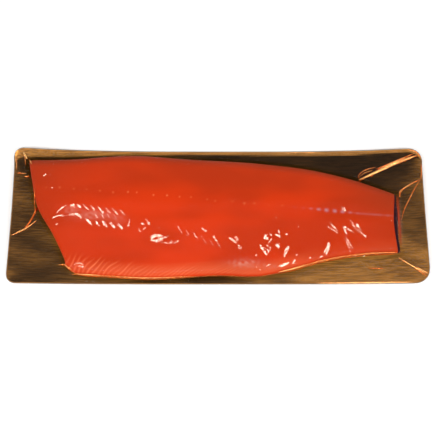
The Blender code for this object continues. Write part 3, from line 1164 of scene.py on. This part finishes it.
# Folds of film on the card; the folded film finish paints their highlights and gold reflection.
CARD_FOLDS: tuple[Fold, ...] = (
    Fold(
        ((-0.2618, 0.0360), (-0.2636, 0.0180), (-0.2668, 0.0030), (-0.2730, -0.0110), (-0.2810, -0.0225)),
        0.0011, 0.0011, 1.2,
    ),
    Fold(((-0.2632, -0.0080), (-0.2745, -0.0180), (-0.2975, -0.0315)), 0.0007, 0.0008, 0.30),
    Fold(((-0.2905, 0.0975), (-0.2860, 0.0905), (-0.2820, 0.0835)), 0.0013, 0.0012, 0.10),
    Fold(((-0.2975, 0.0880), (-0.2968, 0.0780), (-0.2962, 0.0660)), 0.0006, 0.0006, 0.55, 0.7),
    Fold(((-0.2870, 0.0920), (-0.2850, 0.0830), (-0.2838, 0.0740)), 0.0005, 0.0005, 0.55, 0.6),
    Fold(((-0.2780, 0.0810), (-0.2735, 0.0765), (-0.2700, 0.0700)), 0.0008, 0.0008, 0.70, 0.7),
    Fold(
        ((0.2060, 0.0528), (0.2190, 0.0590), (0.2330, 0.0655), (0.2500, 0.0725), (0.2640, 0.0780)),
        0.0017, 0.0018, 0.05, 1.0, 0.5,
    ),
    Fold(
        ((0.2300, 0.0650), (0.2480, 0.0735), (0.2700, 0.0815), (0.2930, 0.0890)),
        0.0020, 0.0018, 0.45, 0.95, 0.45,
    ),
    Fold(
        ((0.2330, 0.0700), (0.2500, 0.0765), (0.2700, 0.0845), (0.2905, 0.0925)),
        0.0010, 0.0012, 0.75, 0.9,
    ),
    Fold(((0.2250, 0.0585), (0.2290, 0.0620), (0.2320, 0.0665)), 0.0006, 0.0006, 0.80, 0.8),
    Fold(
        ((0.2085, 0.0560), (0.2080, 0.0610), (0.2130, 0.0665), (0.2270, 0.0720), (0.2330, 0.0730)),
        0.0005, 0.0006, 0.60, 0.45, 0.4,
    ),
    Fold(((0.2100, 0.0600), (0.2180, 0.0655), (0.2290, 0.0685)), 0.0004, 0.0005, 0.40, 0.40, 0.4),
    Fold(
        ((0.2655, 0.0285), (0.2655, 0.0340), (0.2740, 0.0410), (0.2850, 0.0475), (0.2960, 0.0525)),
        0.0009, 0.0010, 0.60, 1.0, 0.4,
    ),
    Fold(((0.2650, 0.0270), (0.2665, 0.0340), (0.2715, 0.0390)), 0.0010, 0.0011, 0.95, 1.0),
    Fold(
        ((0.2655, -0.0080), (0.2690, 0.0045), (0.2790, 0.0240), (0.2885, 0.0410), (0.2965, 0.0530)),
        0.0007, 0.0009, 0.80, 0.95, 0.4,
    ),
    Fold(((0.2965, 0.0520), (0.2985, 0.0640), (0.2985, 0.0760)), 0.0008, 0.0009, 0.80, 0.9),
    Fold(
        ((0.2570, -0.0620), (0.2676, -0.0697), (0.2820, -0.0790), (0.2965, -0.0875)),
        0.0007, 0.0007, 0.20, 0.75,
    ),
    Fold(((0.2780, -0.0770), (0.2880, -0.0850), (0.2955, -0.0905)), 0.0005, 0.0006, 0.85, 0.9),
    Fold(((0.2800, -0.0755), (0.2890, -0.0815), (0.2975, -0.0860)), 0.0005, 0.0006, 0.15, 0.8),
    Fold(
        ((-0.2290, -0.0728), (-0.2200, -0.0730), (-0.2130, -0.0775), (-0.2060, -0.0822)),
        0.0008, 0.0009, 0.40,
    ),
    Fold(((-0.2850, 0.0570), (-0.2760, 0.0572)), 0.0006, 0.0006, 0.7),
    Fold(((-0.2960, 0.0620), (-0.2820, 0.0615)), 0.0005, 0.0005, 0.8, 0.5),
    Fold(((0.2135, -0.0776), (0.2359, -0.0779)), 0.0005, 0.0004, 1.2, 0.6),
)


Stroke = tuple[float, float, float, float, float]


@dataclass(frozen=True)
class WrinkleRow:
    """A row of slanted wrinkles, one over each block of muscle, in millimetres."""

    first: Pair
    step: Pair
    run: Pair
    count: int
    half_widths: Pair
    run_shares: Pair = (0.7, 1.1)

    def strokes(self, rng: np.random.Generator) -> list[Stroke]:
        """One stroke at each step, its length and half width drawn at random."""
        drawn = []
        for k in range(self.count):
            x, y = self.first[0] + k * self.step[0], self.first[1] + k * self.step[1]
            reach = rng.uniform(*self.run_shares)
            end = (x + reach * self.run[0], y + reach * self.run[1])
            drawn.append((x, y, *end, rng.uniform(*self.half_widths)))
        return drawn


WRINKLE_ROWS: tuple[WrinkleRow, ...] = (
    WrinkleRow((-192, 10), (10.4, -1.4), (8, -9), 6, (0.6, 1.6)),
    WrinkleRow((-179, -20), (10.8, -1.2), (-8, 10), 5, (1.1, 1.8)),
    WrinkleRow((-176, -2), (9.0, -0.5), (4, -7), 4, (0.4, 0.6)),
    WrinkleRow((-58, -20), (11.0, -4.0), (8, -12), 6, (0.30, 0.40)),
)

# Specks where the film stands off the fish: x, y and half width, in millimetres.
FISH_SPECKS: tuple[tuple[float, float, float], ...] = (
    (-237, 34, 1.0),
    (-242, 54, 0.7),
    (-229, -18, 1.6),
    (-84, -22, 1.2),
    (-57, -20, 1.1),
    (-44, -32, 1.1),
    (54, -60, 1.4),
    (54, -77, 0.7),
    (59, -81, 0.8),
    (82, -7, 0.8),
    (98, -30, 1.6),
    (115, -19, 1.3),
    (131, -64, 1.3),
    (136, -66, 0.6),
    (191, -50, 1.2),
    (187, -54, 0.7),
    (248, -11, 0.9),
)

# Short straight wrinkles on the fish: thin end (x, y), wide end (x, y) and half width, in millimetres.
FISH_STROKES: tuple[Stroke, ...] = (
    (-252, 52, -247, 55, 1.0),
    (-210, 8, -203, 8, 2.5),
    (-201, 10, -195, 6, 2.0),
    (-126, -11, -128, -22, 0.7),
    (-110, -15, -106, -18, 1.9),
    (-97, -19, -103, -10, 1.0),
    (-103, -22, -107, -24, 1.0),
    (-113, -22, -112, -28, 0.5),
    (-97, -37, -88, -32, 2.4),
    (-79, -37, -88, -32, 2.5),
    (-96, -38, -90, -41, 2.0),
    (-79, -38, -90, -41, 2.3),
    (-71, -33, -79, -37, 0.7),
    (-84, -42, -69, -44, 0.5),
    (-69, -42, -66, -43, 2.1),
    (-56, -40, -63, -44, 1.1),
    (-24, -22, -17, -27, 1.6),
    (-3, -37, -8, -34, 1.2),
    (-6, -37, -1, -41, 1.3),
    (15, -35, 26, -43, 1.8),
    (28, -40, 25, -34, 1.3),
    (30, -54, 29, -45, 0.7),
    (32, -53, 33, -47, 0.6),
    (66, -38, 68, -30, 2.2),
    (67, -33, 71, -38, 1.5),
    (73, -29, 76, -33, 1.0),
    (72, -43, 76, -37, 1.4),
    (81, -30, 90, -35, 1.2),
    (87, -32, 86, -24, 0.6),
    (87, -50, 83, -44, 2.5),
    (69, -61, 59, -45, 1.8),
    (74, -52, 68, -61, 0.7),
    (68, -46, 74, -49, 0.7),
    (74, -48, 74, -54, 0.7),
    (74, -54, 68, -51, 0.7),
    (93, -63, 100, -47, 2.1),
    (101, -70, 86, -76, 1.9),
    (99, -73, 87, -77, 1.2),
    (106, -72, 109, -66, 1.2),
    (104, -71, 110, -71, 1.2),
    (110, -58, 112, -61, 0.6),
    (68, -75, 73, -73, 0.9),
    (143, -64, 148, -61, 1.3),
    (150, -59, 158, -42, 1.2),
    (153, -61, 159, -45, 1.1),
    (172, -27, 159, -13, 0.9),
    (171, -29, 156, -19, 0.7),
    (176, 10, 184, 3, 1.4),
    (194, -28, 179, -19, 1.1),
    (182, -29, 179, -19, 1.1),
    (182, -32, 184, -27, 0.6),
    (189, -9, 196, -24, 0.6),
    (196, -24, 202, -28, 0.5),
    (205, -28, 197, -15, 1.3),
    (204, -28, 208, -32, 0.6),
    (207, -32, 211, -33, 1.5),
    (180, -37, 188, -52, 0.6),
    (181, -34, 190, -48, 0.8),
    (195, -61, 198, -60, 0.7),
    (207, -61, 209, -61, 1.1),
)

# Longer curved wrinkles on the fish, where the film bridges from one swelling to the next.
FISH_CURVES: tuple[Fold, ...] = (
    Fold(((-0.2300, -0.0025), (-0.2230, 0.0040), (-0.2145, 0.0090)), 0.0008, facet=True),
    Fold(
        ((-0.2365, -0.0100), (-0.2305, -0.0070), (-0.2245, -0.0060), (-0.2150, -0.0065)),
        0.0010,
        facet=True,
    ),
    Fold(
        ((-0.2135, -0.0060), (-0.2060, -0.0040), (-0.1990, -0.0045), (-0.1960, -0.0070), (-0.1940, -0.0105)),
        0.0017,
        facet=True,
    ),
    Fold(
        ((-0.2045, -0.0755), (-0.2000, -0.0725), (-0.1940, -0.0725), (-0.1900, -0.0750)),
        0.0008,
        facet=True,
    ),
    Fold(((-0.1985, -0.0765), (-0.1955, -0.0765), (-0.1905, -0.0780)), 0.0010, facet=True),
    Fold(((0.2500, -0.0070), (0.2545, -0.0180), (0.2565, -0.0300), (0.2568, -0.0450)), 0.0006, facet=True),
)


# A speck's reach to each side of its middle, x and y, in millimetres.
SPECK_REACH: Pair = (0.8, 0.5)
MM_PER_METRE = 1000
FACET_BLUNT: Pair = (0.2, 0.5)
FACET_LEAN: Pair = (0.1, 0.6)


def fish_wrinkles() -> list[Fold]:
    """The wrinkles on the fish: each stroke a small facet, with seeded differences in how it tapers."""
    rng = np.random.default_rng(SEED + 6)
    strokes = list(FISH_STROKES)
    reach_x, reach_y = SPECK_REACH
    strokes += [(x - reach_x, y + reach_y, x + reach_x, y - reach_y, half) for x, y, half in FISH_SPECKS]
    for row in WRINKLE_ROWS:
        strokes += row.strokes(rng)
    folds = []
    for x0, y0, x1, y1, half in strokes:
        path = ((x0 / MM_PER_METRE, y0 / MM_PER_METRE), (x1 / MM_PER_METRE, y1 / MM_PER_METRE))
        blunt = rng.uniform(*FACET_BLUNT)
        lean = rng.uniform(*FACET_LEAN)
        folds.append(Fold(path, half / MM_PER_METRE, blunt=blunt, lean=lean, facet=True))
    return [*folds, *FISH_CURVES]


# A lip along the belly edge stands this far inside it, and one at the rim this far inside the rim.
EDGE_LIP_INSET = 0.0002
RIM_LIP_INSET = 0.0016
EDGE_LIP_POINTS = 8
RIM_LIP_POINTS = 9
RIM_LIP_HEIGHT = 0.8


def edge_lips(form: PackForm) -> list[Fold]:
    """Lips where the film leaves the fish along its belly edge, and where it gathers at the rim; their cream
    to amber colour is painted highlight and painted reflection of the gold.
    """
    folds: list[Fold] = []
    runs = (
        (-0.2100, -0.1600, 0.0005, 0.50),
        (-0.1700, -0.0400, 0.0004, 0.45),
        (0.0850, 0.1300, 0.0008, 0.15),
        (0.1200, 0.1950, 0.0008, 0.55),
        (0.1850, 0.2550, 0.0007, 0.50),
    )
    for low, high, half, reflection_tint in runs:
        x = np.linspace(low, high, EDGE_LIP_POINTS)
        y = smooth_curve(form.belly_edge, x) + EDGE_LIP_INSET
        path = tuple(zip(x.tolist(), y.tolist()))
        folds.append(Fold(path, half, half, reflection_tint, gloss=0.85, blunt=0.35))
    rims = (
        (0.1400, 0.2750, Side.BELLY, 0.0012, 0.15, 0.55),
        (0.2760, 0.2990, Side.BACK, 0.0012, 0.85, 0.95),
        (-0.2990, -0.2780, Side.BACK, 0.0010, 0.80, 0.70),
        (0.0300, 0.2500, Side.BACK, 0.0007, 0.60, 0.55),
        (-0.0900, 0.0600, Side.BACK, 0.0005, 0.90, 0.35),
    )
    for low, high, side, half, reflection_tint, gloss in rims:
        x = np.linspace(low, high, RIM_LIP_POINTS)
        y = side.value * (form.outline(x, side, 0.0) - RIM_LIP_INSET)
        path = tuple(zip(x.tolist(), y.tolist()))
        folds.append(Fold(path, half, half * RIM_LIP_HEIGHT, reflection_tint, gloss, blunt=0.4))
    return folds


# ---------------------------------------------------------------------------------------------------
# Studio
# ---------------------------------------------------------------------------------------------------


@dataclass(frozen=True)
class Softbox:
    """A white area lamp."""

    name: str
    place: Colour
    aim: Colour
    size: Pair
    radiance: float

    def build(self) -> bpy.types.Object:
        """Hangs the lamp. Its power is radiance times pi times its area."""
        light = bpy.data.lights.new(self.name, "AREA")
        light.shape = "RECTANGLE"
        light.size, light.size_y = self.size
        light.energy = self.radiance * math.pi * self.size[0] * self.size[1]
        lamp = bpy.data.objects.new(self.name, light)
        bpy.context.scene.collection.objects.link(lamp)
        lamp.location = self.place
        lamp.rotation_euler = (Vector(self.aim) - Vector(self.place)).to_track_quat("-Z", "Y").to_euler()
        lamp.visible_camera = False
        return lamp


@dataclass(frozen=True)
class Studio:
    """Plain pale floor, soft white light, and the camera."""

    elevation: float = 76.5
    distance: float = 0.90
    aim: Colour = (0.0017, -0.0048, 0.0)
    lens: float = 50.1
    floor_half: float = 6.0
    floor_drop: float = 0.0003
    low_sky: float = 1.25
    high_sky: float = 0.030
    sky_turn: Pair = (0.70, 0.86)
    belly_glow: float = 0.60
    belly_across: Pair = (-0.06, 0.04)
    tail_glow: float = 0.66
    tail_along: Pair = (0.052, 0.085)
    tail_across: Pair = (0.192, 0.216)
    shoulder_glow: float = 0.44
    shoulder_along: Pair = (-0.100, -0.080)
    shoulder_across: Pair = (0.120, 0.160)
    shoulder_least: float = 0.30
    band_middle: float = 0.238
    band_edge: Pair = (0.010, 0.065)
    band_least: float = 0.12
    lamps: tuple[Softbox, ...] = (
        Softbox("front_strip", (0.0, -0.45, 1.20), (0.0, 0.0, 0.0), (1.60, 0.15), 18.0),
    )

    def camera(self) -> None:
        """Points the camera at the pack from above its belly side."""
        data = bpy.data.cameras.new("studio_camera")
        data.lens = self.lens
        data.sensor_width = 36.0
        data.clip_start = 0.02
        data.clip_end = 50.0
        camera = bpy.data.objects.new("studio_camera", data)
        bpy.context.scene.collection.objects.link(camera)
        angle = math.radians(self.elevation)
        away = Vector((0.0, -math.cos(angle), math.sin(angle))) * self.distance
        camera.location = Vector(self.aim) + away
        camera.rotation_euler = (-away).to_track_quat("-Z", "Y").to_euler()
        bpy.context.scene.camera = camera

    def sky(self) -> None:
        """White sky, bright near the horizon and dim overhead.

        Three soft glows break the dim part: one on the belly side, one over the tail's belly side, and a
        weak one over the shoulder end, with a dim band across it. Each comes from the direction's x and y.
        """
        world = bpy.data.worlds.new("studio_sky")
        world.use_nodes = True
        bench = NodeBench(world.node_tree)
        world.node_tree.nodes.clear()
        split = bench.add("ShaderNodeSeparateXYZ")
        bench.feed(split.inputs[0], bench.add("ShaderNodeTexCoord").outputs["Generated"])
        along, across, up = split.outputs
        level = bench.remap(up, self.sky_turn, (self.low_sky, self.high_sky))
        belly = bench.remap(across, self.belly_across, (self.belly_glow, 0.0))
        tail = bench.remap(along, self.tail_along, (0.0, self.tail_glow))
        tail = bench.math("MULTIPLY", tail, bench.remap(across, self.tail_across, (1.0, 0.0)))
        shoulder = bench.remap(along, self.shoulder_along, (self.shoulder_glow, 0.0))
        off_band = bench.math("ABSOLUTE", bench.math("SUBTRACT", across, self.band_middle))
        off_band = bench.remap(off_band, self.band_edge, (self.band_least, 1.0))
        shoulder = bench.math("MULTIPLY", shoulder, off_band)
        low_part = bench.remap(across, self.shoulder_across, (self.shoulder_least, 1.0))
        shoulder = bench.math("MULTIPLY", shoulder, low_part)
        for glow in (belly, tail, shoulder):
            level = bench.math("MAXIMUM", level, glow)
        shader = bench.add("ShaderNodeBackground")
        bench.feed(shader.inputs["Strength"], level)
        done = bench.add("ShaderNodeOutputWorld")
        bench.feed(done.inputs[0], shader.outputs[0])
        bpy.context.scene.world = world

    def floor(self) -> None:
        """Lays the floor just under the pack."""
        half, level = self.floor_half, -self.floor_drop
        mesh = bpy.data.meshes.new("studio_floor")
        corners = [(-half, -half, level), (half, -half, level), (half, half, level), (-half, half, level)]
        mesh.from_pydata(corners, [], [(0, 1, 2, 3)])
        floor = bpy.data.objects.new("studio_floor", mesh)
        bpy.context.scene.collection.objects.link(floor)
        mesh.materials.append(StudioFloor().make())

    def build(self) -> None:
        """Sets up the whole studio."""
        scene = bpy.context.scene
        scene.view_settings.view_transform = "Standard"
        self.camera()
        self.sky()
        self.floor()
        for lamp in self.lamps:
            lamp.build()


def main() -> None:
    """Builds the pack round its frame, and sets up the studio."""
    logging.basicConfig(level=logging.INFO, format="%(name)s %(message)s")
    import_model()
    form = PackForm.from_frame()
    Studio().build()
    GoldCard(form).build()
    SkinLayer(form).build()
    Flesh(form).build()
    FilmEnvelope(form).build()
    folds = FoldMaker(form)
    # Card folds and edge lips take painted highlight and painted gold reflection colours.
    folds.build("card_folds", [*CARD_FOLDS, *edge_lips(form)], FoldedFilm().make())
    # The wrinkles' mirror colour is tinted cream: a painted tint on glints that the lamp really lights.
    wrinkle = ClearFilm(name="wrinkled_film", clear=(1.0, 0.88, 0.66), ior=1.62, smooth=0.12)
    folds.build("fish_wrinkles", fish_wrinkles(), wrinkle.make())


if __name__ == "__main__":
    main()
